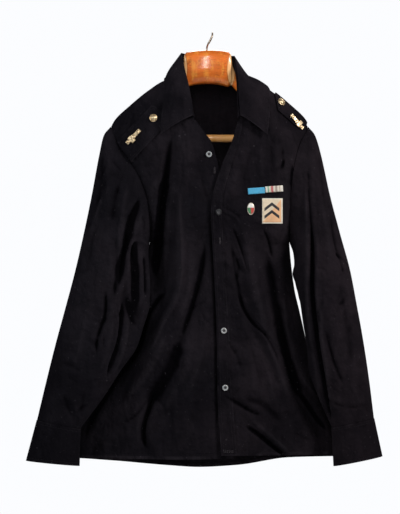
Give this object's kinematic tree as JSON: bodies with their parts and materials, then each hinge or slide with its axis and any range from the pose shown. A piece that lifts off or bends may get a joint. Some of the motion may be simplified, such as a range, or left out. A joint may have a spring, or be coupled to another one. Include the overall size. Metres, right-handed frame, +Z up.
{
  "type": "military shirt on wooden hanger",
  "caption": "dark twill military shirt with pointed collar, shoulder straps, chest badges and brass buttons, hanging open at the neck on a curved wooden hanger with a trouser bar",
  "frame": {"origin": "inside top of the hook's bow, where a rail or a peg carries the hanger", "axes": "+Z up, -Y towards the front of the shirt, +X to the wearer's left"},
  "size_m": [0.6936, 0.1425, 0.8547],
  "materials": {
    "twill": "black cotton twill, matt, a little warm",
    "patch_cloth": "woven cloth patch, cream and peach",
    "ribbon_blue_cloth": "ribbed ribbon",
    "ribbon_cream_cloth": "ribbed ribbon with stripes",
    "badge_enamel": "enamel, glossy",
    "pearly_plastic": "pearly grey",
    "brass": "worn, satin",
    "varnished_wood": "clear gloss varnish on orange-brown wood",
    "hook_wire": "satin wire, warm tint"
  },
  "bodies": {
    "root": {"back": "twill", "front_left": "twill", "front_right": "twill", "placket": "twill", "sleeve_left": "twill", "sleeve_right": "twill", "cuff_left": "twill", "cuff_right": "twill", "collar_leaf": "twill", "collar_stand": "twill", "strap_left": "twill", "strap_right": "twill", "chest_patch": "patch_cloth", "ribbon_blue": "ribbon_blue_cloth", "ribbon_striped": "ribbon_cream_cloth", "badge_oval": "badge_enamel", "button_neck": "pearly_plastic", "button_chest": "pearly_plastic", "button_waist": "pearly_plastic", "button_hem": "pearly_plastic", "cuff_button_left": "pearly_plastic", "cuff_button_right": "pearly_plastic", "strap_button_left": "brass", "strap_button_right": "brass", "pin_left": "brass", "pin_right": "brass", "hanger_wood": "varnished_wood", "hanger_bar": "varnished_wood", "hanger_hook": "hook_wire"}
  },
  "joints": []
}
